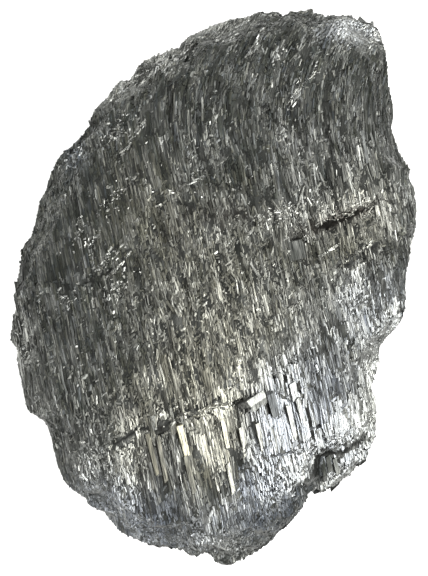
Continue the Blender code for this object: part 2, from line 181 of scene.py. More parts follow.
# Zones of the face, in millimetres from the middle of the slab: centre, half sizes, turn in
# degrees and strength. A zone fades out evenly past its half sizes.
ZONES = {
    # Long, wide, parallel laths.
    "coarse": [
        ((0.0, -12.9), (5.0, 4.2), 0, 1.0),
        ((8.3, -11.6), (5.5, 3.8), 0, 1.0),
        ((-2.7, -19.3), (4.0, 3.6), 0, 0.9),
        ((12.0, -15.8), (3.2, 2.0), 25, 1.0),
        ((12.6, -5.4), (3.2, 4.0), 0, 0.6),
        ((-4.5, 16.5), (4.0, 4.5), 0, 0.5),
        ((8.6, 9.5), (4.5, 3.0), 0, 0.35),
    ],
    # Laths that lie across each other.
    "tangled": [
        ((1.9, 2.6), (3.4, 3.2), 0, 1.0),
        ((-8.0, -12.0), (4.0, 3.0), 20, 0.7),
        ((-2.0, -3.0), (5.0, 3.5), 0, 0.45),
        ((5.5, 19.5), (4.0, 3.5), 0, 0.5),
        ((-9.5, -18.0), (3.0, 3.5), 0, 0.8),
        ((4.5, 6.6), (5.0, 1.6), 18, 0.7),
    ],
    # Even cleavage with fine lines and few steps.
    "smooth": [
        ((-13.5, 5.0), (2.4, 6.5), -12, 1.0),
        ((-12.5, -5.5), (2.6, 4.5), -12, 0.8),
        ((-8.8, 5.5), (2.0, 5.0), -12, 0.7),
        ((-6.0, 12.5), (2.4, 4.5), -12, 0.8),
        ((6.5, 3.3), (1.7, 0.8), 10, 1.6),
        ((14.0, 17.0), (1.2, 4.0), 5, 0.6),
    ],
    # Faces that lean towards the key lamp. Their colour is painted fresher and lighter too, partly
    # fresh cleavage and partly painted light.
    "bright": [
        ((9.0, -11.8), (6.2, 3.8), 10, 1.1),
        ((15.0, -6.3), (2.0, 3.4), 0, 0.8),
        ((12.2, -4.0), (0.9, 1.3), 0, 0.3),
        ((5.5, -0.5), (10.0, 7.5), 0, 0.1),
        ((11.6, 7.6), (4.0, 1.2), 10, 0.2),
        ((-1.3, -15.8), (0.8, 1.2), 0, -0.3),
        ((-4.6, -14.2), (0.8, 1.4), 0, 0.25),
        ((16.0, -2.8), (0.9, 1.8), 0, 0.8),
        ((11.6, -8.9), (1.7, 1.3), 0, -0.6),
        ((7.4, -14.6), (3.2, 2.2), 0, 0.9),
        ((5.6, -16.8), (2.0, 1.6), 0, 1.4),
        ((9.0, -13.2), (0.9, 0.9), 0, -0.3),
        ((10.7, -17.3), (0.9, 0.7), 0, 0.8),
        ((13.6, -10.0), (1.0, 1.0), 0, 0.5),
        ((6.8, -8.9), (0.7, 2.0), 10, 1.2),
        ((9.4, -10.0), (1.2, 1.4), 0, -0.65),
        ((1.2, -12.0), (4.0, 2.6), 0, 0.45),
        ((2.0, -12.8), (0.9, 1.4), 10, -0.4),
        ((0.1, -18.0), (1.0, 1.2), 0, -0.5),
        ((11.9, -2.4), (0.9, 1.4), 0, 0.3),
        ((0.3, -15.4), (0.9, 1.3), 0, 0.7),
        ((2.0, -8.1), (2.4, 1.1), 15, 0.55),
        ((-5.0, -8.2), (1.8, 1.2), 20, 0.4),
        ((-7.8, -13.2), (1.0, 3.8), 0, 0.45),
        ((12.3, -16.6), (3.0, 1.4), 28, 1.2),
        ((13.9, -12.1), (1.4, 1.1), 25, 1.1),
        ((14.4, -13.8), (0.8, 1.6), 0, 0.8),
        ((11.6, -5.2), (1.1, 1.3), 0, -0.3),
        ((-0.5, -8.1), (1.0, 1.2), 0, -0.3),
        ((-4.4, -19.8), (1.2, 3.0), 0, -0.4),
        ((-7.8, -19.0), (1.0, 2.5), 0, 0.35),
        ((-11.4, -16.6), (1.2, 2.4), 0, 0.35),
        ((-9.0, -20.0), (1.2, 0.8), -30, 0.4),
        ((-4.6, -22.6), (1.0, 0.6), 0, 0.5),
        ((-0.4, -22.6), (1.6, 0.7), 0, 0.5),
        ((7.9, -18.6), (1.0, 1.2), 0, -0.8),
        ((2.8, -16.2), (0.9, 1.8), 0, -0.5),
        ((13.6, 1.2), (1.2, 1.6), 0, 0.3),
        ((9.4, -16.3), (1.0, 1.4), 0, -0.9),
        ((13.0, -1.0), (1.1, 1.8), 0, 0.5),
        ((4.1, -1.5), (1.4, 1.4), 0, 0.2),
        ((7.8, -1.6), (1.0, 1.0), 0, 0.25),
        ((-2.5, 7.9), (1.2, 1.0), 0, 0.2),
        ((-0.2, -10.9), (1.2, 0.8), 0, 0.3),
        ((-1.0, -18.5), (5.0, 3.5), 0, 0.2),
        ((-15.4, -10.0), (1.0, 1.6), 0, 0.35),
        ((9.8, 3.0), (3.4, 0.9), 5, -0.4),
        ((12.6, -1.2), (1.2, 2.0), 0, 0.3),
        ((11.5, 6.7), (2.0, 0.8), 15, 0.75),
        ((15.0, 6.7), (1.4, 1.0), 0, 0.45),
        ((0.9, 5.2), (1.2, 1.2), 0, 0.45),
        ((-5.6, 8.3), (1.3, 1.3), 0, 0.45),
        ((5.6, -6.2), (3.6, 2.2), 10, 0.25),
        ((3.0, -18.5), (3.0, 2.5), 0, 0.25),
        ((-6.4, -15.8), (2.6, 4.0), 0, 0.35),
        ((-17.2, -4.8), (1.2, 3.4), 0, 1.0),
        ((-15.0, 3.2), (0.8, 1.2), 0, 0.3),
        ((-5.8, 20.1), (5.0, 1.3), 40, 1.0),
        ((1.2, 23.7), (2.4, 0.8), 10, 0.8),
        ((12.8, 23.0), (2.6, 1.4), -10, 1.1),
        ((1.6, -23.4), (1.2, 0.6), 0, 0.6),
    ],
    # Sulphide that has dulled.
    "dull": [
        ((-12.0, 3.0), (6.5, 13.0), -15, 0.9),
        ((3.0, 19.5), (13.0, 6.0), 0, 0.8),
        ((-5.0, 8.0), (6.0, 7.0), 0, 0.6),
        ((11.8, -14.4), (2.8, 0.7), 27, 1.0),
        ((2.6, 11.2), (1.8, 2.8), -10, 0.7),
        ((0.2, 9.6), (1.8, 1.0), 0, 0.5),
        ((3.6, 8.4), (1.8, 1.6), 0, 0.6),
        ((-17.2, 0.8), (1.0, 2.0), 0, 0.9),
        ((12.0, 18.0), (2.4, 3.0), 0, 0.6),
        ((5.4, 11.0), (1.2, 1.6), 0, 0.5),
        ((11.9, 3.4), (1.4, 1.0), 0, 0.5),
        ((5.4, 3.6), (1.4, 1.6), 0, 0.6),
        ((-1.1, 0.6), (1.2, 1.2), 0, 0.5),
        ((-1.3, -15.8), (0.9, 1.4), 0, 0.6),
        ((-14.2, 8.0), (1.2, 3.0), -15, 0.5),
        ((-4.5, -4.8), (1.5, 1.2), 0, 0.4),
        ((5.4, 21.2), (1.3, 1.8), 0, 1.0),
        ((16.8, 2.0), (0.9, 5.0), 0, 0.8),
        ((-0.3, -18.0), (1.5, 1.6), 0, 0.9),
        ((2.7, -16.3), (1.2, 2.0), 0, 1.0),
        ((7.8, 0.4), (2.0, 2.4), 0, 0.6),
        ((5.5, -3.4), (1.2, 2.4), 0, 0.5),
        ((-7.4, -6.4), (3.0, 2.4), 0, 0.6),
        ((3.2, 2.4), (1.4, 3.0), 0, 0.4),
        ((8.8, 8.2), (1.0, 1.4), 0, 0.6),
        ((14.0, -2.6), (0.9, 1.6), 30, 0.7),
        ((9.4, -16.3), (1.0, 1.4), 0, 0.8),
        ((9.8, 3.0), (3.4, 0.9), 5, 0.8),
        ((11.8, -8.4), (2.0, 1.6), 0, 0.6),
        ((-4.4, -19.8), (1.6, 3.2), 0, 1.0),
        ((5.2, -20.2), (3.0, 1.8), 40, 1.0),
        ((7.8, -18.6), (1.2, 1.2), 0, 1.0),
        ((-8.4, -12.0), (1.2, 1.0), 0, 0.5),
        ((15.1, 17.4), (1.0, 4.8), 4, 0.8),
    ],
    # A thin cream film.
    "cream": [
        ((0.4, -13.0), (2.6, 4.4), 0, 1.0),
        ((-3.8, -9.2), (5.0, 2.6), 15, 0.7),
        ((-7.0, -14.0), (2.0, 3.0), 0, 0.5),
        ((1.5, -5.0), (5.0, 4.0), 0, 0.6),
        ((13.0, 5.5), (3.0, 4.0), 0, 0.6),
        ((-3.0, 0.0), (6.0, 8.0), 0, 0.3),
        ((4.5, 3.0), (8.0, 5.0), 0, 0.3),
        ((-6.5, 8.5), (3.0, 4.0), 0, 0.25),
    ],
    # A thin blue film.
    "blue": [
        ((-7.0, -20.5), (6.0, 2.6), -20, 1.0),
        ((4.0, -19.5), (4.0, 3.0), 30, 0.8),
        ((8.2, -10.2), (4.2, 4.6), 0, 0.9),
        ((4.6, -13.6), (2.0, 3.2), 0, 0.6),
        ((2.6, -16.8), (1.6, 2.0), 0, 0.5),
        ((14.0, -1.0), (3.0, 4.0), 0, 0.6),
        ((12.5, -15.5), (3.0, 2.0), 20, 0.5),
        ((-12.5, 11.5), (1.2, 1.5), 0, 0.5),
        ((11.8, 23.0), (2.6, 1.5), 0, 0.6),
    ],
    # A brown stain along the shoulder step.
    "brown": [
        ((11.0, 6.2), (4.0, 0.7), 20, 1.0),
        ((1.0, 6.5), (3.0, 0.8), 0, 0.5),
        ((-3.5, 5.0), (1.2, 1.6), 0, 0.35),
        ((-5.2, -15.2), (1.1, 3.0), 0, 0.35),
    ],
}

# Crevices in the face, where the colour holds its darkest painted shade: half width, then points along
# the line.
CREVICES = {
    "long_crack": (
        0.14,
        [(-8.8, -13.8), (-7.8, -13.3), (-6.7, -12.5), (-5.4, -12.3), (-4.5, -12.4), (-3.7, -11.6),
         (-2.9, -10.8), (-1.7, -10.7), (-0.8, -10.4), (0.3, -9.8), (1.4, -10.0), (2.6, -10.5)],
    ),
    "crack_notch": (0.34, [(-4.9, -12.5), (-4.4, -12.4)]),
    "shoulder": (0.2, [(9.6, 5.6), (10.9, 5.9), (11.9, 6.1), (12.5, 6.5), (13.2, 7.1)]),
    "under_shoulder": (0.12, [(6.5, 4.3), (7.7, 4.2)]),
    "side": (0.16, [(11.8, 2.0), (12.5, 2.5), (13.7, 3.2), (14.3, 3.9)]),
    "terrace_wall": (0.34, [(9.9, -14.3), (9.4, -15.1), (9.1, -15.9), (8.9, -16.9)]),
    "terrace_corner": (0.3, [(9.7, -14.5), (10.5, -14.4)]),
    "terrace_back": (0.22, [(10.0, -14.8), (11.4, -14.7), (12.7, -14.0), (13.7, -13.4)]),
    "bright_slab_crack": (0.09, [(4.85, -14.65), (6.85, -14.4), (9.1, -13.9)]),
    "beside_ridge": (0.12, [(7.4, -8.5), (7.95, -10.0), (8.4, -11.6), (8.75, -13.1)]),
    "block_left_pit": (0.3, [(2.7, -10.5), (3.0, -11.1)]),
    "block_seat": (0.26, [(3.4, -10.45), (4.7, -9.65)]),
    "block_right_pit": (0.2, [(4.8, -9.2), (4.95, -11.1)]),
    "block_upper_pit": (0.34, [(5.3, -8.2), (6.5, -8.0)]),
    "waist": (0.12, [(8.8, -5.6), (11.0, -5.2), (12.4, -6.4), (14.0, -6.1)]),
    "left_edge": (0.26, [(-17.3, 2.2), (-17.4, -0.2)]),
    "left_field": (0.08, [(-11.4, -0.2), (-9.6, 1.4), (-7.6, 2.7)]),
    "upper_left": (0.13, [(-8.2, 8.2), (-6.5, 9.6), (-5.0, 9.9)]),
    "middle": (0.12, [(-3.2, 7.6), (0.2, 6.3), (2.4, 6.6), (3.6, 5.6)]),
}

# Edges that flash: half width, the points along the edge, and how far apart their chips are. The
# chips there are longer, and lie along the edge.
BRIGHT_EDGES = {
    "crack_lip": (0.14, [(-6.7, -13.0), (-5.8, -12.7)], 0.07),
    "crack_lip_right": (0.14, [(-3.9, -12.1), (-3.0, -11.3), (-1.9, -11.1)], 0.06),
    "crack_lip_left": (0.14, [(-9.0, -13.4), (-7.9, -12.8), (-7.0, -12.1)], 0.14),
    "crack_far_lip": (0.14, [(-1.2, -10.9), (0.2, -10.3), (1.4, -10.5)], 0.08),
    "shoulder_lip": (0.3, [(9.3, 5.9), (10.9, 6.4), (12.0, 6.7), (12.8, 7.3), (14.0, 7.9)], 0.04),
    "shoulder_left": (0.35, [(5.2, 6.6), (6.6, 6.4), (7.6, 5.0), (8.7, 4.3)], 0.035),
    "shoulder_end": (0.18, [(14.0, 7.3), (14.8, 7.8), (16.0, 8.0)], 0.06),
    "side_lip": (0.16, [(12.2, 2.9), (13.2, 3.3), (14.2, 3.9)], 0.05),
    "side_diagonal": (0.1, [(9.5, 2.8), (11.2, 4.0)], 0.07),
    "terrace_rim": (0.26, [(10.1, -13.5), (11.4, -13.2), (12.7, -12.4), (14.6, -11.1)], 0.035),
    "terrace_left": (0.3, [(9.9, -13.2), (8.9, -14.2), (8.4, -15.5)], 0.05),
    "slab_crack_lip": (0.12, [(5.6, -14.8), (7.2, -14.6), (9.4, -13.9)], 0.06),
    "pit_lip": (0.14, [(5.0, -7.7), (6.0, -7.4), (6.9, -7.9)], 0.07),
    "head_strand": (0.3, [(6.5, 16.3), (8.0, 18.2), (9.3, 19.6)], 0.05),
    "head_strand_left": (0.3, [(-8.3, 12.0), (-7.0, 13.4), (-6.2, 15.0)], 0.1),
    "head_strand_1": (0.35, [(-4.5, 19.3), (-3.6, 21.1)], 0.04),
    "head_strand_2": (0.35, [(-3.1, 20.6), (-2.0, 22.5)], 0.04),
    "head_strand_3": (0.3, [(0.0, 21.5), (1.0, 23.5)], 0.05),
    "head_strand_4": (0.3, [(1.2, 22.0), (2.3, 23.8)], 0.05),
    "head_strand_5": (0.25, [(3.2, 20.6), (4.3, 22.9)], 0.07),
    "rim_strand": (0.4, [(-9.2, 16.6), (-8.2, 18.6)], 0.05),
    "left_lip": (0.14, [(-9.6, 0.8), (-8.4, 2.0), (-7.4, 3.2)], 0.07),
    "middle_lip": (0.35, [(-4.6, 8.3), (-2.6, 9.0), (-0.4, 10.1)], 0.16),
}

# Single crystals that stand out: both ends, width, lift, lean towards the key lamp as a share of
# full shine, dulling and film. A positive film is cream and a negative one blue.
SINGLE_CRYSTALS = {
    "cream_rod": ((-3.1, -12.2), (-2.3, -14.9), 0.5, 0.26, 0.78, 0.15, 1.0),
    "grey_rod": ((-2.5, -14.9), (-1.7, -18.2), 0.42, 0.16, 0.4, 0.55, 0.3),
    "brown_lath": ((-5.9, -13.0), (-5.0, -16.6), 0.34, 0.1, 0.3, 0.6, 0.6),
    "brown_lath_right": ((-5.0, -13.2), (-4.2, -17.2), 0.3, 0.16, 0.5, 0.5, 0.4),
    "block_upper": ((3.05, -10.25), (4.54, -9.35), 0.58, 0.42, 0.75, 0.05, 0.0),
    "block_lower": ((3.31, -10.75), (4.75, -9.88), 0.44, 0.34, 0.6, 0.5, 0.0),
    "ridge_head": ((6.9, -8.4), (7.3, -9.9), 0.55, 0.2, 0.95, 0.0, -0.15),
    "ridge_lath": ((7.3, -9.8), (8.3, -13.2), 0.34, 0.22, 0.95, 0.0, -0.05),
    "ridge_lath_left": ((6.5, -10.4), (7.3, -13.4), 0.32, 0.2, 0.9, 0.05, 0.05),
    "smooth_lath": ((5.0, -9.4), (5.55, -11.4), 0.6, 0.36, 0.45, 0.5, -0.15),
    "recess_lath": ((10.2, -15.1), (10.5, -16.5), 0.4, 0.1, 0.35, 0.7, 0.0),
    "recess_lath_left": ((9.7, -15.4), (10.0, -16.9), 0.36, 0.05, 0.2, 0.85, 0.0),
    "recess_lath_right": ((10.8, -15.3), (11.2, -16.7), 0.34, 0.12, 0.6, 0.4, 0.0),
    "bright_lath": ((3.8, -12.0), (4.4, -14.4), 0.32, 0.2, 0.95, 0.0, 0.15),
    "bright_lath_left": ((2.3, -12.4), (2.9, -14.9), 0.3, 0.2, 0.9, 0.0, 0.3),
    "cream_lath": ((0.7, -11.6), (1.3, -14.2), 0.3, 0.22, 0.85, 0.05, 0.7),
    "cream_lath_low": ((1.2, -15.6), (1.8, -18.2), 0.32, 0.18, 0.8, 0.1, 0.3),
    "smooth_plate": ((6.5, 4.0), (6.95, 2.4), 2.3, -0.02, 0.0, 0.7, 0.0),
}

# Patches of small bright chips: centre, half sizes, turn in degrees and how many.
CHIP_PATCHES = {
    "upper_left_rim": ((-12.7, 11.7), (0.8, 1.5), -25, 60),
    "left_spot": ((-11.9, 5.2), (0.5, 0.9), -10, 34),
    "left_spot_tail": ((-10.9, 4.0), (0.9, 0.4), 40, 26),
    "left_row_high": ((-8.6, 8.4), (2.3, 0.5), 45, 60),
    "left_row_middle": ((-9.8, 2.4), (2.2, 0.35), 40, 60),
    "left_row_low": ((-8.7, 0.0), (1.6, 0.8), 40, 90),
    "left_edge_low": ((-13.3, -1.0), (0.9, 0.7), 30, 34),
    "left_edge_corner": ((-15.5, -1.8), (0.6, 0.9), 0, 20),
    "left_edge_high": ((-14.5, 7.4), (0.5, 0.8), -20, 16),
    "head_left_row": ((-8.5, 14.0), (2.1, 0.7), 50, 90),
    "head_left_rim": ((-7.8, 18.6), (2.4, 0.6), 42, 160),
    "head_left_high": ((-3.8, 21.6), (3.2, 0.9), 42, 320),
    "head_rim": ((1.4, 23.7), (2.4, 0.7), 8, 120),
    "head_strands": ((8.0, 18.3), (2.4, 0.5), 55, 70),
    "head_strands_left": ((6.0, 20.8), (1.5, 0.35), 65, 14),
    "head_corner": ((12.8, 23.0), (2.2, 1.2), -10, 340),
    "left_edge_foot": ((-17.2, -5.2), (0.6, 1.8), 0, 170),
    "shoulder_band": ((6.6, 6.6), (4.0, 0.8), 14, 240),
    "shoulder_right": ((13.8, 7.2), (2.4, 0.7), 22, 110),
    "waist_cloud": ((12.2, -0.6), (1.6, 1.2), 0, 110),
    "waist_rim": ((14.6, -6.0), (1.2, 2.0), 0, 150),
    "terrace_rim": ((11.2, -13.2), (3.0, 0.5), 25, 140),
    "below_bright_slab": ((6.0, -17.2), (2.0, 1.3), 0, 160),
    "terrace_foot": ((12.2, -17.0), (2.6, 0.8), 30, 80),
    "pit_rim": ((4.0, -9.5), (0.9, 0.5), 20, 14),
    "crack_rim": ((-4.9, -11.0), (6.0, 0.5), 19, 110),
    "foot_left": ((-9.6, -16.6), (1.8, 3.0), 20, 190),
    "foot_rim": ((-7.0, -20.9), (3.4, 1.1), -28, 150),
    "foot_right": ((3.2, -19.6), (2.6, 1.3), 40, 50),
    "foot_point": ((-1.0, -21.9), (2.6, 0.9), 0, 60),
    "middle_scatter": ((2.0, -2.0), (10.0, 7.0), 20, 300),
    "upper_scatter": ((-1.0, 12.0), (9.0, 6.0), 30, 110),
    "left_scatter": ((-9.5, 1.0), (4.0, 11.0), -15, 170),
    "dark_scatter": ((3.6, 8.6), (3.0, 2.6), 20, 34),
}

# Soft lamps: azimuth from +X and angle from straight up in degrees, width and height and distance
# in metres, and brightness.
Lamp = namedtuple("Lamp", "azimuth from_zenith size distance brightness")
LAMPS = {
    "key": Lamp(-12.0, 36.0, (0.44, 0.2), 0.55, 19.0),
    "window": Lamp(125.0, 55.0, (0.34, 0.2), 0.6, 13.0),
    "side": Lamp(190.0, 62.0, (0.34, 0.22), 0.6, 8.0),
    "foot": Lamp(-105.0, 58.0, (0.34, 0.2), 0.6, 9.0),
    "right": Lamp(50.0, 62.0, (0.3, 0.24), 0.6, 8.0),
}


def bend(y):
    """How far a lath has moved sideways at this distance along the slab."""
    return -LATH_LEAN * y + LATH_CURL * np.maximum(0.0, y - BEND_START) ** 2


def zone(name, x, y):
    """How strongly each place belongs to the zones of this name, from 0 to 1."""
    total = np.zeros_like(x)
    for (cx, cy), (rx, ry), turn, strength in ZONES[name]:
        c, s = math.cos(math.radians(turn)), math.sin(math.radians(turn))
        along = ((x - cx) * c + (y - cy) * s) / rx
        across = (-(x - cx) * s + (y - cy) * c) / ry
        total += strength * np.exp(-((along**2 + across**2) ** 1.5) * ZONE_FADE)
    return np.clip(total, 0.0, 1.0)


def crevice(x, y):
    """How deep in a crevice each place is: 1 on its line, and 0 a little outside its width."""
    places = np.column_stack([x, y])
    depth = np.zeros(len(places))
    for half, points in CREVICES.values():
        line = np.array(points)
        for start, end in zip(line[:-1], line[1:]):
            along = end - start
            share = np.clip((places - start) @ along / (along @ along), 0.0, 1.0)
            apart = np.linalg.norm(places - start - share[:, None] * along, axis=1)
            depth = np.maximum(depth, np.clip(CREVICE_REACH - apart / half, 0.0, 1.0))
    return depth


def normalised(vectors):
    """These vectors at length 1."""
    return vectors / np.maximum(np.linalg.norm(vectors, axis=1, keepdims=True), 1e-12)


def pattern(name, x, y):
    """The noise pattern of this name at each place, from about -1 to 1."""
    across, along, level = PATTERNS[name]
    u = x - bend(y)
    return PATTERN_GAIN * np.array([
        noise.noise(Vector((a / across, b / along, level))) for a, b in zip(u, y)
    ])


def length_factors(rng, count, longest=0.8):
    """How long like crystals are against the usual one. longest is the largest logarithm."""
    return np.exp(np.clip(rng.normal(0.0, LENGTH_SPREAD, count), -1, longest))


def in_halves(name, y, starts, ends, ups, shape, looks):
    """Crystals as two pieces, those towards the head and those towards the foot."""
    for half, inside in (("head", y > 0.0), ("foot", y <= 0.0)):
        crystals(
            f"{name}_{half}", starts[inside], ends[inside], ups[inside],
            {key: values[inside] for key, values in shape.items()},
            {key: values[inside] for key, values in looks.items()},
        )


def add_looks(mesh, looks):
    """Puts surface values on the mesh's corners, for its material to read by name."""
    for kind, values in looks.items():
        attribute = mesh.attributes.new(kind, "FLOAT", "POINT")
        attribute.data.foreach_set("value", np.asarray(values, dtype=np.float32))


def slab_body(settings, material):
    """The slab under its crystals: the solid with the grooves between its wide laths closed."""
    body = bpy.data.objects.new(BODY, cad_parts[NODE].data.copy())
    bpy.context.scene.collection.objects.link(body)
    closed = body.modifiers.new("closed", "REMESH")
    closed.mode = "VOXEL"
    closed.voxel_size = settings.body_grain
    evened = body.modifiers.new("evened", "SMOOTH")
    evened.factor = 0.5
    evened.iterations = settings.body_evening
    seen = body.evaluated_get(bpy.context.evaluated_depsgraph_get())
    mesh = bpy.data.meshes.new_from_object(seen)
    body.modifiers.clear()
    body.data = mesh
    corners = np.empty(3 * len(mesh.vertices))
    mesh.vertices.foreach_get("co", corners)
    room_below, room_above = np.array(LATH_ROOM) * MM
    lowest, highest = np.array(CAD_BOX[0]) + room_below, np.array(CAD_BOX[1]) - room_above
    corners = np.clip(corners.reshape(-1, 3), lowest, highest)
    mesh.vertices.foreach_set("co", corners.ravel())
    x, y = corners[:, 0] / MM, corners[:, 1] / MM
    up = np.array([vertex.normal.z for vertex in mesh.vertices])
    # The body shows only between crystals. Its colour holds painted shade, darker the more it faces up
    # and darkest in the crevices, and painted light, fresher and lighter where it faces up in the
    # bright zones.
    fresh = zone("bright", x, y) * np.clip(up, 0.0, 1.0)
    shadowed = np.clip(0.38 + 0.38 * up, 0.1, 0.66) * (1.0 - 0.6 * fresh)
    looks = {
        "dulling": 0.8 - 0.5 * fresh,
        "film": np.zeros(len(x)),
        "stain": np.where(up > 0.0, zone("brown", x, y), 0.0),
        "tarnish": np.maximum(shadowed, np.where(up > 0.0, crevice(x, y), 0.0)),
    }
    add_looks(mesh, looks)
    mesh.materials.clear()
    mesh.materials.append(material)
    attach(body, "root")
    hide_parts(NODE)


def body_surface():
    """The body's corners in millimetres, its triangles, and a tree for finding places on them."""
    mesh = bpy.data.objects[BODY].data
    corners = np.empty(3 * len(mesh.vertices))
    mesh.vertices.foreach_get("co", corners)
    mesh.calc_loop_triangles()
    triangles = np.empty(3 * len(mesh.loop_triangles), dtype=np.int64)
    mesh.loop_triangles.foreach_get("vertices", triangles)
    corners, triangles = corners.reshape(-1, 3) / MM, triangles.reshape(-1, 3)
    return corners, triangles, BVHTree.FromPolygons(corners.tolist(), triangles.tolist())


def face_heights(tree, x, y):
    """The height of the slab's upper side at each place, or nan beside the slab."""
    down = Vector((0.0, 0.0, -1.0))
    heights = np.full(len(x), np.nan)
    for i, (px, py) in enumerate(zip(x, y)):
        hit = tree.ray_cast(Vector((px, py, RAY_START)), down)[0]
        if hit:
            heights[i] = hit.z
    return heights


def face_normals(tree, x, y):
    """The outward direction of the slab's upper side at each place on it."""
    down = Vector((0.0, 0.0, -1.0))
    return np.array([tree.ray_cast(Vector((px, py, RAY_START)), down)[1] for px, py in zip(x, y)])


def crystals(name, starts, ends, ups, shape, looks):
    """One piece made of closed lath crystals. Each has five long sides: two lean away from its ridge.

    starts and ends are the ridge's two ends and ups its upward direction. shape holds, for each
    crystal, its width, depth, ridge place, the drop on each side of the ridge, and the two skews of
    its broken ends. looks holds each crystal's surface values by attribute name."""
    axis = normalised(ends - starts)
    side = normalised(np.cross(axis, ups))
    up = np.cross(side, axis)
    half = shape["width"] / 2
    across = np.stack(
        [-UNDERSIDE_SHARE * half, -half, shape["ridge"] * half, half, UNDERSIDE_SHARE * half], axis=1
    )
    nothing = np.zeros_like(half)
    height = -np.stack(
        [shape["depth"], shape["drop_left"], nothing, shape["drop_right"], shape["depth"]], axis=1
    )
    skew = shape["skew_across"][:, None] * across + shape["skew_down"][:, None] * height
    section = across[..., None] * side[:, None] + height[..., None] * up[:, None]
    slant = skew[..., None] * axis[:, None]
    low, high = starts[:, None] + section + slant, ends[:, None] + section + slant
    corners = np.concatenate([low, high], axis=1).reshape(-1, 3) * MM
    corners = np.clip(corners, np.array(CAD_BOX[0]), np.array(CAD_BOX[1]))
    faces = []
    for first in range(0, 10 * len(starts), 10):
        for k in range(5):
            following = (k + 1) % 5
            faces.append((first + k, first + following, first + 5 + following, first + 5 + k))
        faces.append((first + 9, first + 8, first + 7, first + 6, first + 5)[::-1])
        faces.append((first + 4, first + 3, first + 2, first + 1, first))
    mesh = bpy.data.meshes.new(name)
    mesh.from_pydata(corners.tolist(), [], faces)
    add_looks(mesh, {kind: np.repeat(values, 10) for kind, values in looks.items()})
    mesh.materials.append(bpy.data.materials[METAL])
    piece = bpy.data.objects.new(name, mesh)
    bpy.context.scene.collection.objects.link(piece)
    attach(piece, "root")


def towards_key(shine):
    """Upward directions that shine back the key lamp where shine is 1, and point straight up at 0."""
    azimuth = math.radians(LAMPS["key"].azimuth)
    lean = math.tan(math.radians(LAMPS["key"].from_zenith / 2)) * shine
    return normalised(
        np.column_stack([lean * math.cos(azimuth), lean * math.sin(azimuth), np.ones(len(shine))])
    )


def nearest_shine(normals):
    """For each slope, an upward direction near it that shines a lamp straight up. The stronger
    lamps are taken first."""
    turns = np.radians([lamp.azimuth for lamp in LAMPS.values()])
    tilts = np.radians([lamp.from_zenith / 2 for lamp in LAMPS.values()])
    faces = np.column_stack([
        np.sin(tilts) * np.cos(turns), np.sin(tilts) * np.sin(turns), np.cos(tilts)
    ])
    strength = np.array([lamp.brightness for lamp in LAMPS.values()])
    return faces[(normals @ faces.T + 0.4 * strength / strength.max()).argmax(axis=1)]


def square_to(arm, ups):
    """These arms turned until they are square to the upward directions."""
    return normalised(arm - ups * (arm * ups).sum(axis=1)[:, None])


def surface_values(x, y, rng):
    """Dulling, painted shade and grime, stain and film for crystals at these places, each a little
    different.
    """
    # Bright zones are painted fresher and lighter, partly fresh cleavage and partly painted light.
    dull = USUAL_DULLING + zone("dull", x, y) * 0.45 - 0.8 * zone("bright", x, y)
    dull += 0.25 * pattern("dulling", x, y) + rng.uniform(-0.25, 0.25, len(x))
    film = 0.45 * zone("cream", x, y) - 0.4 * zone("blue", x, y) + rng.normal(0.0, 0.06, len(x))
    clean, grimy = rng.random((2, len(x))) < np.array([[CLEAN_SHARE], [GRIMY_SHARE]])
    dull -= USUAL_DULLING * clean
    # Crevices get painted shade. A few random laths are darkened by grime, except in the bright zones.
    grime = 0.8 * grimy * (1.0 - zone("bright", x, y))
    return {
        "dulling": np.clip(dull, 0.0, 1.0),
        "film": np.clip(film, -1.0, 1.0),
        "stain": np.clip(zone("brown", x, y) * rng.uniform(0.4, 1.1, len(x)), 0.0, 1.0),
        "tarnish": np.maximum(crevice(x, y), grime),
    }


def leaning_ups(x, y, axis, rng, spread):
    """Upward directions for crystals: level in dull zones, towards the key lamp in bright ones."""
    lean = math.tan(math.radians(LAMPS["key"].from_zenith / 2))
    count = len(x)
    bright = zone("bright", x, y)
    roll = lean * bright * rng.uniform(0.85, 1.12, count)
    # Laths lean in bundles, narrow ones within wide ones.
    bundles = 0.16 * pattern("bundles", x, y) + 0.1 * pattern("wide_bundles", x, y)
    calm = 1.0 - 0.6 * bright - 0.1 * zone("dull", x, y)
    roll += (bundles + spread * rng.normal(0.0, 1.0, count)) * calm
    upright = np.array([0.0, 0.0, 1.0])
    side = normalised(np.cross(axis, upright))
    return normalised(upright + side * roll[:, None])


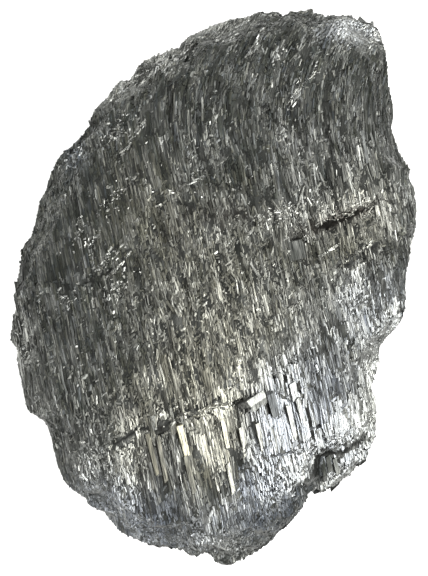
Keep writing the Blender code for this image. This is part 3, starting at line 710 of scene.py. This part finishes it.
def laths_on_face(tree, width, length, rng, keep=None):
    """Laths in rows over the upper side, cut where the face steps. Returns their ends."""
    starts_u, starts_v, stops_v, widths = [], [], [], []
    u = -HALF_LENGTH
    while u < HALF_LENGTH:
        row_width = width * rng.uniform(0.6, 1.5)
        v = -HALF_LENGTH + rng.uniform(0.0, 2.0)
        while v < HALF_LENGTH:
            x, y = np.array([u + float(bend(v))]), np.array([v])
            coarse, smooth = float(zone("coarse", x, y)[0]), float(zone("smooth", x, y)[0])
            long = length * (1.0 + 1.3 * coarse + 1.0 * smooth)
            long *= math.exp(rng.normal(0.0, LENGTH_SPREAD))
            if keep is None or rng.random() < keep(coarse, smooth):
                starts_u.append(u)
                starts_v.append(v)
                stops_v.append(v + long)
                widths.append(row_width)
            v += long
        u += row_width
    pending = np.array([starts_u, starts_v, stops_v, widths]).T
    kept = []
    for _ in range(CUT_ROUNDS):
        u, v0, v1, _ = pending.T
        inset = np.minimum(END_MARGIN, (v1 - v0) / 4)
        places = [v0 + inset, (v0 + v1) / 2, v1 - inset]
        z0, z1, z2 = (face_heights(tree, u + bend(v), v) for v in places)
        limit = np.where(v1 - v0 < SHORT_LATH, STEEPEST_SHORT, STEEPEST)
        steep = (np.abs(z2 - z0) > limit * (v1 - v0)) | (np.abs(z1 - (z0 + z2) / 2) > BULGE)
        missing = np.isnan(z0) | np.isnan(z2) | np.isnan(z1)
        fits = ~steep & ~missing
        kept.append(np.column_stack([pending[fits], z0[fits], z2[fits]]))
        again = pending[~fits & (v1 - v0 > SHORTEST_CUT)]
        middle = (again[:, 1] + again[:, 2]) / 2
        first, second = again.copy(), again.copy()
        first[:, 2], second[:, 1] = middle, middle
        pending = np.concatenate([first, second])
    u, v0, v1, widths, z0, z1 = np.concatenate(kept).T
    starts = np.column_stack([u + bend(v0), v0, z0])
    ends = np.column_stack([u + bend(v1), v1, z1])
    return starts, ends, widths


def on_face(tree, starts, ends, apart=0.3):
    """Whether both ends of each crystal lie over the face, near the height of its middle."""
    middle = (starts + ends) / 2
    fits = np.ones(len(starts), dtype=bool)
    for end in (starts, ends):
        over = face_heights(tree, end[:, 0], end[:, 1])
        fits &= ~np.isnan(over) & (np.abs(over - middle[:, 2]) < apart)
    return fits


def some(rows, *arrays):
    """The same rows of each array."""
    return [array[rows] for array in arrays]


def turned(starts, ends, angles):
    """These laths, each turned about an upright axis through its middle."""
    middle, arm = (starts + ends) / 2, (ends - starts) / 2
    c, s = np.cos(angles), np.sin(angles)
    swung = np.column_stack([arm[:, 0] * c - arm[:, 1] * s, arm[:, 0] * s + arm[:, 1] * c, arm[:, 2]])
    return middle - swung, middle + swung


def lath_shape(widths, rng, rise):
    """Sections and broken ends for laths of these widths. rise is how steep their roofs are."""
    count = len(widths)
    return {
        "width": widths * OVERLAP,
        "depth": np.maximum(LEAST_DEPTH, widths * 1.3),
        "ridge": rng.uniform(-0.75, 0.75, count),
        "drop_left": widths * rise * rng.uniform(0.05, 1.0, count),
        "drop_right": widths * rise * rng.uniform(0.05, 1.0, count),
        "skew_across": rng.normal(0.35, 0.35, count),
        "skew_down": rng.normal(0.0, 0.4, count),
    }


def lifted(starts, ends, lift, tip):
    """These laths moved up by lift, with their far ends up by tip and their near ends down by it."""
    starts[:, 2] += lift - tip
    ends[:, 2] += lift + tip
    return starts, ends


def levelled(starts, ends):
    """These laths made nearly level in bright zones, so that slopes there break up into steps."""
    share = 0.85 * zone("bright", *((starts + ends) / 2)[:, :2].T)
    rise = (ends[:, 2] - starts[:, 2]) * share / 2
    starts[:, 2] += rise
    ends[:, 2] -= rise
    return starts, ends


def fine_laths(settings):
    """The narrow laths that cover the whole upper side, apart from slots where some are lost. They
    are two pieces, towards the head and towards the foot."""
    tree = body_surface()[2]
    rng = np.random.default_rng(SEEDS["fine_laths"])
    starts, ends, widths = laths_on_face(
        tree, settings.fine_width / MM, settings.fine_length / MM, rng
    )
    x, y = ((starts + ends) / 2)[:, :2].T
    # Slots are left open where the laths are rough, and laths swing and rise more there.
    rough = 1.0 - np.maximum(zone("smooth", x, y), 0.5 * zone("bright", x, y))
    slot = pattern("slots", x, y) * (0.4 + 0.6 * rough)
    stays = (slot > -0.72) & (crevice(x, y) < 0.95)
    starts, ends, widths, x, y, rough = some(stays, starts, ends, widths, x, y, rough)
    tangled = zone("tangled", x, y)
    scatter = 0.3 + 0.7 * rough
    swing = np.radians(2.0 + 3.0 * rough + 26.0 * tangled * (rng.random(len(x)) < 0.6))
    starts, ends = levelled(*turned(starts, ends, rng.normal(0.0, 1.0, len(x)) * swing))
    lift = 0.04 + rng.uniform(-0.045, 0.045, len(x)) * (0.25 + 0.75 * rough)
    lift += 0.13 * pattern("lift", x, y) * scatter
    lift += 0.1 * (rng.random(len(x)) < 0.05) * rough - 0.5 * crevice(x, y)
    tip = rng.normal(0.0, 0.025, len(x)) * scatter
    starts, ends = lifted(starts, ends, lift, tip)
    ups = leaning_ups(x, y, normalised(ends - starts), rng, spread=0.11 * scatter)
    steepness = scatter * (1.0 - 0.5 * zone("bright", x, y))
    shape = lath_shape(widths, rng, rise=0.17 * steepness)
    looks = surface_values(x, y, rng)
    in_halves("fine_laths", y, starts, ends, ups, shape, looks)


def coarse_laths(settings):
    """The wide, long laths that stand out where the slab is coarsest."""
    tree = body_surface()[2]
    rng = np.random.default_rng(SEEDS["coarse_laths"])
    starts, ends, widths = laths_on_face(
        tree, settings.coarse_width / MM, settings.coarse_length / MM, rng,
        keep=lambda coarse, smooth: 0.03 + 0.6 * coarse - 0.1 * smooth,
    )
    x, y = ((starts + ends) / 2)[:, :2].T
    starts, ends, widths, x, y = some(crevice(x, y) < 0.5, starts, ends, widths, x, y)
    starts, ends = levelled(*turned(starts, ends, np.radians(rng.normal(0.0, 2.5, len(x)))))
    lift = 0.02 + rng.uniform(-0.05, 0.09, len(x)) + 0.13 * pattern("lift", x, y)
    starts, ends = lifted(starts, ends, lift, rng.normal(0.0, 0.03, len(x)))
    ups = leaning_ups(x, y, normalised(ends - starts), rng, spread=0.08)
    shape = lath_shape(widths, rng, rise=0.14 * (1.0 - 0.5 * zone("bright", x, y)))
    crystals("coarse_laths", starts, ends, ups, shape, surface_values(x, y, rng))


def cross_crystals(settings):
    """Short crystals that grew over the laths at an angle, most of them up to the right."""
    tree = body_surface()[2]
    rng = np.random.default_rng(SEEDS["cross_crystals"])
    x = rng.uniform(-HALF_WIDTH, HALF_WIDTH, settings.cross_count)
    y = rng.uniform(-HALF_LENGTH, HALF_LENGTH, settings.cross_count)
    share = 0.75 - 0.5 * zone("coarse", x, y) - 0.6 * zone("smooth", x, y)
    share += 0.5 * pattern("crossing", x, y)
    z = face_heights(tree, x, y)
    x, y, z = some((rng.random(len(x)) < share) & ~np.isnan(z) & (crevice(x, y) < 0.3), x, y, z)
    half = settings.cross_length / MM / 2 * length_factors(rng, len(x))
    heading = np.radians(rng.normal(*CROSS_HEADING, len(x)))
    arm = np.column_stack([np.cos(heading), np.sin(heading), rng.normal(0.0, 0.12, len(x))])
    middle = np.column_stack([x, y, z + rng.uniform(0.02, 0.1, len(x))])
    starts, ends = middle - arm * half[:, None], middle + arm * half[:, None]
    starts, ends, half = some(on_face(tree, starts, ends), starts, ends, half)
    ups = normalised(np.array([0.0, 0.0, 1.0]) + rng.normal(0.0, 0.17, (len(half), 3)))
    shape = lath_shape(half * rng.uniform(0.5, 0.9, len(half)), rng, rise=0.25)
    looks = surface_values(starts[:, 0], starts[:, 1], rng)
    crystals("cross_crystals", starts, ends, ups, shape, looks)


def single_crystals():
    """The few large crystals that show on their own, each in its place."""
    tree = body_surface()[2]
    rng = np.random.default_rng(SEEDS["single_crystals"])
    rows = list(SINGLE_CRYSTALS.values())
    first, last = (np.array([row[k] for row in rows]) for k in (0, 1))
    widths, lift, shine, dulling, film = (np.array([row[k] for row in rows]) for k in range(2, 7))
    ups = towards_key(shine)
    heights = np.maximum(face_heights(tree, *first.T), face_heights(tree, *last.T)) + lift
    middle = np.column_stack([(first + last) / 2, heights])
    level = np.column_stack([(last - first) / 2, np.zeros(len(rows))])
    arm = square_to(level, ups) * np.linalg.norm(level, axis=1, keepdims=True)
    starts, ends = middle - arm, middle + arm
    shape = lath_shape(widths, rng, rise=0.03)
    shape["depth"] = np.full(len(rows), 1.1)
    looks = surface_values(middle[:, 0], middle[:, 1], rng)
    looks.update(dulling=dulling, film=film, tarnish=np.zeros(len(rows)))
    crystals("single_crystals", starts, ends, ups, shape, looks)


def chip_places(rng):
    """Where the chips lie, which way they head and how long they are against the usual."""
    places, headings, lengths = [], [], []
    for (cx, cy), (rx, ry), turn, count in CHIP_PATCHES.values():
        c, s = math.cos(math.radians(turn)), math.sin(math.radians(turn))
        spot = rng.normal(0.0, 0.6, (count, 2)) * (rx, ry)
        places.append(np.column_stack([
            cx + spot[:, 0] * c - spot[:, 1] * s, cy + spot[:, 0] * s + spot[:, 1] * c
        ]))
        headings.append(rng.normal(*CHIP_HEADING, count))
        lengths.append(np.full(count, 1.0))
    for half, points, spacing in BRIGHT_EDGES.values():
        line = np.array(points)
        for start, end in zip(line[:-1], line[1:]):
            count = max(2, round(np.linalg.norm(end - start) / spacing))
            along = rng.random((count, 1))
            places.append(start + along * (end - start) + rng.normal(0.0, half / 2, (count, 2)))
            way = math.degrees(math.atan2(end[1] - start[1], end[0] - start[0]))
            headings.append(rng.normal(way, EDGE_CHIP_SPREAD, count))
            lengths.append(np.full(count, EDGE_CHIP_LENGTH))
    return np.concatenate(places), np.radians(np.concatenate(headings)), np.concatenate(lengths)


def bright_chips(settings):
    """Small chips along the breaks, whose fresh faces catch the lamps."""
    tree = body_surface()[2]
    rng = np.random.default_rng(SEEDS["bright_chips"])
    places, heading, long = chip_places(rng)
    z = face_heights(tree, *places.T)
    stays = ~np.isnan(z) & (crevice(*places.T) < 0.4)
    places, heading, long, z = some(stays, places, heading, long, z)
    half = settings.chip_length / MM / 2 * length_factors(rng, len(z))
    wide = half * rng.uniform(0.7, 1.2, len(half))
    half *= long
    ups = nearest_shine(face_normals(tree, *places.T))
    ups = normalised(ups + rng.normal(0.0, 0.2, (len(z), 3)))
    level = np.column_stack([np.cos(heading), np.sin(heading), np.zeros(len(z))])
    arm = square_to(level, ups) * half[:, None]
    middle = np.column_stack([places, z + rng.uniform(0.04, 0.13, len(z))])
    starts, ends = middle - arm, middle + arm
    starts, ends, ups, wide = some(on_face(tree, starts, ends, apart=0.7), starts, ends, ups, wide)
    shape = lath_shape(wide, rng, rise=0.2)
    looks = surface_values(starts[:, 0], starts[:, 1], rng)
    looks["dulling"] = rng.uniform(-0.6, 0.3, len(wide))
    crystals("bright_chips", starts, ends, ups, shape, looks)


def side_places(corners, triangles, rng, count, top):
    """Even random places on the slab's sides, below this top, and the outward directions there."""
    a, b, c = (corners[triangles[:, k]] for k in range(3))
    cross = np.cross(b - a, c - a)
    area = np.linalg.norm(cross, axis=1) / 2
    normal = normalised(cross)
    height = (a + b + c)[:, 2] / 3
    side = (normal[:, 2] < SIDE_RISE) & (normal[:, 2] > -SIDE_FALL)
    chance = np.where(side & (height > SIDE_FOOT) & (height < top), area, 0.0)
    picked = rng.choice(len(area), count, p=chance / chance.sum())
    share = rng.random((count, 2))
    over = share.sum(axis=1) > 1
    share[over] = 1 - share[over]
    spot = a[picked] + share[:, :1] * (b - a)[picked] + share[:, 1:] * (c - a)[picked]
    return spot, normal[picked]


def within(tree, places, reach):
    """Whether each place is inside the body, or outside it by less than this reach."""
    near = [tree.find_nearest(Vector(place))[:2] for place in places]
    beyond = places - np.array([found for found, facing in near])
    outside = (beyond * np.array([facing for found, facing in near])).sum(axis=1) > 0.0
    return ~outside | (np.linalg.norm(beyond, axis=1) < reach)


def flank_crystals(surface, rng, count, length, width, poke, top):
    """Crystals at the slab's sides, below this top. They run along the grain all through the slab,
    so they lie flat in its long sides and end in steps at its head and foot, and they bend down
    where the rim slopes. poke is how far they stand out."""
    corners, triangles, tree = surface
    spot, out = side_places(corners, triangles, rng, count, top)
    lean = (bend(spot[:, 1] + 0.01) - bend(spot[:, 1])) / 0.01 + rng.normal(0.0, 0.06, count)
    grain = normalised(np.column_stack([lean, np.ones(count), rng.normal(0.0, 0.06, count)]))
    upward = np.clip(2.5 * out[:, 2], 0.0, 1.0)
    facing = (out * grain).sum(axis=1)
    grain = normalised(grain - out * (facing * np.minimum(upward, 0.95))[:, None])
    facing = (out * grain).sum(axis=1)
    half = length / 2 * length_factors(rng, count, longest=0.6)
    # A lath that runs into the side is set back, until only its end stands out.
    inside = np.clip(1.5 * facing, -1.0, 1.0) * half - facing * rng.uniform(0.0, poke, count)
    bright, hollow = zone("bright", *spot[:, :2].T) * upward, crevice(*spot[:, :2].T) * upward
    ups = out - grain * facing[:, None] + np.array([0.0, 0.0, 0.25]) * np.abs(facing)[:, None]
    ups = ups * (1.0 - bright)[:, None] + nearest_shine(out) * bright[:, None]
    ups = normalised(ups + rng.normal(0.0, 0.1, out.shape))
    middle = spot - grain * inside[:, None] + ups * rng.uniform(-0.15, 0.8, (count, 1)) * poke
    starts, ends = middle - grain * half[:, None], middle + grain * half[:, None]
    fits = within(tree, starts, poke) & within(tree, ends, poke)
    starts, ends, ups, spot, bright, hollow = some(fits, starts, ends, ups, spot, bright, hollow)
    shape = lath_shape(width * rng.uniform(0.6, 1.6, len(spot)), rng, rise=0.25)
    looks = surface_values(spot[:, 0], spot[:, 1], rng)
    # The sides hold painted shade: they are painted duller, and darker in random patches, except where
    # they catch a lamp, and darkest in hollows.
    looks["dulling"] = np.clip(looks["dulling"] + 0.3 * (1.0 - bright), 0.0, 1.0)
    looks["film"] *= 0.4
    patch = 0.4 * pattern("painted_side_shade", spot[:, 0], spot[:, 1] + spot[:, 2])
    tarnish = np.clip(patch + rng.uniform(0.15, 0.75, len(spot)), 0.0, 0.95)
    looks["tarnish"] = np.maximum(tarnish * (1.0 - bright), hollow)
    return spot[:, 1], starts, ends, ups, shape, looks


def flank_laths(settings):
    """The narrow laths at the slab's sides, as two pieces, and the thick ones that stand out more."""
    surface = body_surface()
    rng = np.random.default_rng(SEEDS["flank_laths"])
    y, *laths = flank_crystals(
        surface, rng, settings.flank_count, settings.flank_length / MM, settings.flank_width / MM,
        poke=LATH_POKE, top=RAY_START,
    )
    in_halves("flank_laths", y, *laths)
    _, *blocks = flank_crystals(
        surface, rng, settings.block_count, settings.block_length / MM, settings.block_width / MM,
        poke=BLOCK_POKE, top=BLOCK_TOP,
    )
    crystals("flank_blocks", *blocks)


def linear(value):
    """An sRGB hex colour as linear values with alpha."""
    parts = [int(value[i:i + 2], 16) / 255 for i in (1, 3, 5)]
    return (*(p / 12.92 if p <= 0.04045 else ((p + 0.055) / 1.055) ** 2.4 for p in parts), 1.0)


def add_node(tree, kind, settings=None, inputs=None):
    """One shader node, with its settings and with each input set to a value or linked."""
    node = tree.nodes.new(kind)
    for name, value in (settings or {}).items():
        setattr(node, name, value)
    for name, value in (inputs or {}).items():
        if isinstance(value, bpy.types.NodeSocket):
            tree.links.new(value, node.inputs[name])
        else:
            node.inputs[name].default_value = value
    return node


def straightened(tree):
    """Object coordinates in millimetres with the laths' lean and curl taken out."""
    place = add_node(tree, "ShaderNodeTexCoord").outputs["Object"]
    scaled = add_node(
        tree, "ShaderNodeVectorMath", {"operation": "SCALE"}, {0: place, "Scale": 1 / MM}
    ).outputs[0]
    parts = add_node(tree, "ShaderNodeSeparateXYZ", None, {0: scaled}).outputs
    x, y, z = parts
    leant = add_node(
        tree, "ShaderNodeMath", {"operation": "MULTIPLY_ADD"}, {0: y, 1: LATH_LEAN, 2: x}
    ).outputs[0]
    past = add_node(
        tree, "ShaderNodeMath", {"operation": "SUBTRACT"}, {0: y, 1: BEND_START}
    ).outputs[0]
    past = add_node(tree, "ShaderNodeMath", {"operation": "MAXIMUM"}, {0: past, 1: 0.0}).outputs[0]
    curl = add_node(tree, "ShaderNodeMath", {"operation": "MULTIPLY"}, {0: past, 1: past}).outputs[0]
    u = add_node(
        tree, "ShaderNodeMath", {"operation": "MULTIPLY_ADD"}, {0: curl, 1: -LATH_CURL, 2: leant}
    ).outputs[0]
    return add_node(tree, "ShaderNodeCombineXYZ", None, {0: u, 1: y, 2: z}).outputs[0]


def surface_patterns(tree):
    """What the crystals' corners hold, and the striations and blotches on them, by name."""
    read = {
        kind: add_node(tree, "ShaderNodeAttribute", {"attribute_name": kind}).outputs["Fac"]
        for kind in ("dulling", "film", "stain", "tarnish")
    }
    grain = straightened(tree)
    for kind, counts in (("lines", STRIATIONS_PER_MM), ("blotches", BLOTCHES_PER_MM)):
        fitted = add_node(
            tree, "ShaderNodeVectorMath", {"operation": "MULTIPLY"}, {0: grain, 1: counts}
        ).outputs[0]
        read[kind] = add_node(
            tree, "ShaderNodeTexNoise", None, {"Vector": fitted, "Scale": 1.0, "Detail": 3.0}
        ).outputs["Fac"]
    return read


def striated_sulphide(settings):
    """Andorite, a lead silver antimony sulphide, broken along its striated cleavage. It is opaque
    and metallic: fresh cleavage mirrors the lamps, and older faces have dulled to a dark grey."""
    material = bpy.data.materials.new(METAL)
    material.use_nodes = True
    tree = material.node_tree
    shader = tree.nodes["Principled BSDF"]
    read = surface_patterns(tree)
    # Values moved from one range to another: the two ends before and the two ends after. The newest
    # chips have a dulling below zero, and are smoother than the rest.
    patch, cream, blue, shade, roughness = (
        add_node(
            tree, "ShaderNodeMapRange", None, dict(enumerate((read[kind], *ends)))
        ).outputs["Result"]
        for kind, ends in (
            ("blotches", (0.3, 0.7, -0.3, 0.3)),
            ("film", (0.0, 1.0, 0.0, 1.0)),
            ("film", (0.0, -1.0, 0.0, 1.0)),
            ("lines", (0.3, 0.7, 0.0, 1.0)),
            ("dulling", (-0.6, 0.6, 0.28, 0.53)),
        )
    )
    dulling = add_node(
        tree, "ShaderNodeMath", {"operation": "ADD", "use_clamp": True},
        {0: read["dulling"], 1: patch},
    ).outputs[0]
    # The darkest mix below is painted shade in crevices, between crystals and on the sides, and grime
    # on random laths.
    colour = linear(settings.fresh_colour)
    for share, over in (
        (dulling, settings.dull_colour),
        (cream, settings.cream_colour),
        (blue, settings.blue_colour),
        (read["tarnish"], settings.tarnish_colour),
        (read["stain"], settings.stain_colour),
    ):
        colour = add_node(
            tree, "ShaderNodeMix", {"data_type": "RGBA"},
            {0: share, MIX_FIRST: colour, MIX_SECOND: linear(over)},
        ).outputs[MIX_RESULT]
    # Painted shade in the grooves between the striations.
    grooved = add_node(
        tree, "ShaderNodeMix", {"data_type": "RGBA"},
        {0: shade, MIX_FIRST: linear(settings.groove_shade_colour), MIX_SECOND: colour},
    ).outputs[MIX_RESULT]
    bump = add_node(
        tree, "ShaderNodeBump", None,
        {"Strength": 0.6, "Distance": GROOVE_DEPTH, "Height": read["lines"]},
    ).outputs[0]
    tree.links.new(grooved, shader.inputs["Base Color"])
    tree.links.new(roughness, shader.inputs["Roughness"])
    tree.links.new(bump, shader.inputs["Normal"])
    shader.inputs["Metallic"].default_value = 1.0
    return material


def plain_board(settings):
    """Matt white painted board, rolled: it looks even, with a very faint mottle."""
    material = bpy.data.materials.new("painted_board")
    material.use_nodes = True
    tree = material.node_tree
    shader = tree.nodes["Principled BSDF"]
    place = add_node(tree, "ShaderNodeTexCoord").outputs["Object"]
    mottle = add_node(
        tree, "ShaderNodeTexNoise", None, {"Vector": place, "Scale": MOTTLES_PER_M, "Detail": 2.0}
    ).outputs["Fac"]
    colours = {
        MIX_FIRST: linear(settings.floor_colour), MIX_SECOND: linear(settings.floor_mottle)
    }
    colour = add_node(tree, "ShaderNodeMix", {"data_type": "RGBA"}, {0: mottle, **colours})
    tree.links.new(colour.outputs[MIX_RESULT], shader.inputs["Base Color"])
    shader.inputs["Roughness"].default_value = 0.9
    return material


def softbox(name, azimuth, from_zenith, size, distance, brightness):
    """A soft lamp that looks at the slab, with its width level and its height towards the zenith."""
    lamp = bpy.data.lights.new(name, "AREA")
    lamp.shape = "RECTANGLE"
    lamp.size, lamp.size_y = size
    # A lamp's energy is its brightness all over its face.
    lamp.energy = brightness * math.pi * size[0] * size[1]
    holder = bpy.data.objects.new(name, lamp)
    turn, tilt = math.radians(azimuth), math.radians(from_zenith)
    way = Vector((math.sin(tilt) * math.cos(turn), math.sin(tilt) * math.sin(turn), math.cos(tilt)))
    level = Vector((-math.sin(turn), math.cos(turn), 0.0))
    facing = Matrix((level, way.cross(level), way)).transposed()
    holder.matrix_world = Matrix.Translation(way * distance) @ facing.to_4x4()
    bpy.context.scene.collection.objects.link(holder)


def studio_dome(settings):
    """Dim overhead and paler towards the horizon in reflections, and pale where the camera sees it."""
    world = bpy.data.worlds.new("studio")
    bpy.context.scene.world = world
    world.use_nodes = True
    tree = world.node_tree
    tree.nodes.clear()
    way = add_node(tree, "ShaderNodeTexCoord").outputs["Generated"]
    up = add_node(tree, "ShaderNodeSeparateXYZ", None, {0: way}).outputs[2]
    light = add_node(
        tree, "ShaderNodeMapRange", None,
        {0: up, 1: HORIZON_TOP, 2: 1.0, 3: settings.horizon_light, 4: settings.zenith_light},
    ).outputs["Result"]
    room = add_node(tree, "ShaderNodeBackground", None, {"Strength": light})
    pale = add_node(
        tree, "ShaderNodeBackground", None,
        {"Color": linear(settings.backdrop_colour), "Strength": settings.backdrop_light},
    )
    path = add_node(tree, "ShaderNodeLightPath").outputs
    # The matt floor and the backdrop are lit evenly, as on a light table.
    even = add_node(
        tree, "ShaderNodeMath", {"operation": "MAXIMUM"},
        {0: path["Is Camera Ray"], 1: path["Is Diffuse Ray"]},
    ).outputs[0]
    mixed = add_node(
        tree, "ShaderNodeMixShader", None, {0: even, 1: room.outputs[0], 2: pale.outputs[0]}
    )
    add_node(tree, "ShaderNodeOutputWorld", None, {"Surface": mixed.outputs[0]})


def colour_property(name, description, default):
    """A colour setting, held as an sRGB hex text."""
    return bpy.props.StringProperty(name=name, description=description, default=default)


def length_property(name, description, default):
    """A length setting in metres."""
    return bpy.props.FloatProperty(
        name=name, description=description, default=default, min=0.0, unit="LENGTH"
    )


class AndoriteCrystalSettings(bpy.types.PropertyGroup):
    """Sizes and colours of the crystals."""

    body_grain: length_property("Body grain", "Size of the body's facets", 0.25 * MM)
    body_evening: bpy.props.IntProperty(
        name="Body evening", description="How often the body's facets are evened out", default=3
    )
    fine_width: length_property("Fine lath width", "Mean width of a narrow lath", 0.13 * MM)
    fine_length: length_property("Fine lath length", "Usual length of a narrow lath", 0.6 * MM)
    coarse_width: length_property("Coarse lath width", "Mean width of a wide lath", 0.26 * MM)
    coarse_length: length_property("Coarse lath length", "Usual length of a wide lath", 1.6 * MM)
    cross_length: length_property("Cross crystal length", "Usual length of one", 0.32 * MM)
    cross_count: bpy.props.IntProperty(
        name="Cross crystals", description="How many places for one are tried", default=16000, min=1
    )
    chip_length: length_property("Chip length", "Usual length of a bright chip", 0.18 * MM)
    flank_length: length_property("Flank lath length", "Usual length of one", 0.95 * MM)
    flank_width: length_property("Flank lath width", "Mean width of one", 0.22 * MM)
    flank_count: bpy.props.IntProperty(
        name="Flank laths", description="How many laths lie on the sides", default=23000, min=1
    )
    block_length: length_property("Flank block length", "Usual length of a thick one", 1.8 * MM)
    block_width: length_property("Flank block width", "Mean width of a thick one", 0.5 * MM)
    block_count: bpy.props.IntProperty(
        name="Flank blocks", description="How many thick laths lie on the sides", default=1500, min=1
    )
    fresh_colour: colour_property("Fresh metal", "Newly broken sulphide", "#9a9b96")
    dull_colour: colour_property("Dulled metal", "Sulphide that has dulled", "#31342f")
    # Painted shade in the grooves between the striations.
    groove_shade_colour: colour_property("Grooves", "Between the striations", "#2c2d2b")
    cream_colour: colour_property("Cream film", "Thin cream film on the metal", "#a6a28e")
    blue_colour: colour_property("Blue film", "Thin blue film on the metal", "#8a92a2")
    stain_colour: colour_property("Stain", "Brown stain along a step", "#332e29")
    # Painted shade in the crevices, between the crystals and on the sides, and grime on random laths.
    tarnish_colour: colour_property("Tarnish", "Dark tarnish in the crevices", "#1f1f1e")


class AndoriteStageSettings(bpy.types.PropertyGroup):
    """The floor, the room's light and the camera."""

    floor_size: length_property("Floor size", "Length of the square floor's side", 1.4)
    floor_colour: colour_property("Floor", "Painted board", "#f2f2f0")
    floor_mottle: colour_property("Floor mottle", "Faint mottle of the board", "#eeeeec")
    backdrop_colour: colour_property("Backdrop", "Beyond the floor", "#ffffff")
    backdrop_light: bpy.props.FloatProperty(
        name="Backdrop light", description="Brightness beyond the floor", default=1.0
    )
    zenith_light: bpy.props.FloatProperty(
        name="Light overhead", description="Brightness of the room straight above", default=0.14
    )
    horizon_light: bpy.props.FloatProperty(
        name="Light at the horizon", description="Brightness of the room low down", default=0.7
    )
    camera_distance: length_property("Camera distance", "From the camera to the slab", 0.3)
    view_height: length_property("View height", "Height of the picture at the slab", 52.27 * MM)


class ANDORITE_OT_body(bpy.types.Operator):
    """Make the slab under its crystals, and its striated metal"""

    bl_idname = "andorite.body"
    bl_label = "Slab body"

    def execute(self, context):
        settings = context.scene.andorite_crystals
        slab_body(settings, striated_sulphide(settings))
        return {"FINISHED"}


class ANDORITE_OT_fine_laths(bpy.types.Operator):
    """Cover the upper side with its narrow laths"""

    bl_idname = "andorite.fine_laths"
    bl_label = "Fine laths"

    def execute(self, context):
        fine_laths(context.scene.andorite_crystals)
        return {"FINISHED"}


class ANDORITE_OT_coarse_laths(bpy.types.Operator):
    """Lay the wide, long laths where the slab is coarsest"""

    bl_idname = "andorite.coarse_laths"
    bl_label = "Coarse laths"

    def execute(self, context):
        coarse_laths(context.scene.andorite_crystals)
        return {"FINISHED"}


class ANDORITE_OT_cross_crystals(bpy.types.Operator):
    """Lay short crystals across the laths"""

    bl_idname = "andorite.cross_crystals"
    bl_label = "Cross crystals"

    def execute(self, context):
        cross_crystals(context.scene.andorite_crystals)
        return {"FINISHED"}


class ANDORITE_OT_single_crystals(bpy.types.Operator):
    """Set the large crystals that show on their own"""

    bl_idname = "andorite.single_crystals"
    bl_label = "Single crystals"

    def execute(self, context):
        single_crystals()
        return {"FINISHED"}


class ANDORITE_OT_bright_chips(bpy.types.Operator):
    """Scatter bright chips along the breaks"""

    bl_idname = "andorite.bright_chips"
    bl_label = "Bright chips"

    def execute(self, context):
        bright_chips(context.scene.andorite_crystals)
        return {"FINISHED"}


class ANDORITE_OT_flank_laths(bpy.types.Operator):
    """Cover the slab's sides with narrow and thick laths"""

    bl_idname = "andorite.flank_laths"
    bl_label = "Flank laths"

    def execute(self, context):
        flank_laths(context.scene.andorite_crystals)
        return {"FINISHED"}


class ANDORITE_OT_stage(bpy.types.Operator):
    """Set the pale floor, the soft lamps and the camera straight above the slab"""

    bl_idname = "andorite.stage"
    bl_label = "Stage"

    def execute(self, context):
        settings = context.scene.andorite_stage
        half = settings.floor_size / 2
        mesh = bpy.data.meshes.new("floor")
        corners = [(-half, -half, 0), (half, -half, 0), (half, half, 0), (-half, half, 0)]
        mesh.from_pydata(corners, [], [(0, 1, 2, 3)])
        mesh.materials.append(plain_board(settings))
        floor = bpy.data.objects.new("floor", mesh)
        context.scene.collection.objects.link(floor)
        for name, lamp in LAMPS.items():
            softbox(name, *lamp)
        studio_dome(settings)
        context.scene.view_settings.view_transform = "Standard"
        lens = bpy.data.cameras.new("camera")
        middle = OUTLINE_HEIGHT * CAD_BOX[1][2]
        lens.lens = lens.sensor_width * settings.camera_distance / settings.view_height
        camera = bpy.data.objects.new("camera", lens)
        camera.location = (0.0, 0.0, middle + settings.camera_distance)
        context.scene.collection.objects.link(camera)
        context.scene.camera = camera
        return {"FINISHED"}


class ANDORITE_PT_panel(bpy.types.Panel):
    """The specimen's settings and steps"""

    bl_idname = "ANDORITE_PT_panel"
    bl_label = "Andorite Specimen"
    bl_space_type = "VIEW_3D"
    bl_region_type = "UI"
    bl_category = "Andorite"

    def draw(self, context):
        for group in (context.scene.andorite_crystals, context.scene.andorite_stage):
            box = self.layout.box()
            for name in group.__annotations__:
                box.prop(group, name)
        for step in OPERATORS:
            self.layout.operator(step.bl_idname)


OPERATORS = (
    ANDORITE_OT_stage,
    ANDORITE_OT_body,
    ANDORITE_OT_fine_laths,
    ANDORITE_OT_coarse_laths,
    ANDORITE_OT_cross_crystals,
    ANDORITE_OT_single_crystals,
    ANDORITE_OT_bright_chips,
    ANDORITE_OT_flank_laths,
)
CLASSES = (AndoriteCrystalSettings, AndoriteStageSettings, *OPERATORS, ANDORITE_PT_panel)


def register():
    """Makes the settings, steps and panel known."""
    for cls in CLASSES:
        bpy.utils.register_class(cls)
    bpy.types.Scene.andorite_crystals = bpy.props.PointerProperty(type=AndoriteCrystalSettings)
    bpy.types.Scene.andorite_stage = bpy.props.PointerProperty(type=AndoriteStageSettings)


def unregister():
    """Takes them away again."""
    del bpy.types.Scene.andorite_stage
    del bpy.types.Scene.andorite_crystals
    for cls in reversed(CLASSES):
        bpy.utils.unregister_class(cls)


def main():
    """Builds the stage and the specimen."""
    register()
    bpy.ops.andorite.stage()
    bpy.ops.andorite.body()
    bpy.ops.andorite.fine_laths()
    bpy.ops.andorite.coarse_laths()
    bpy.ops.andorite.cross_crystals()
    bpy.ops.andorite.single_crystals()
    bpy.ops.andorite.bright_chips()
    bpy.ops.andorite.flank_laths()


if __name__ == "__main__":
    main()
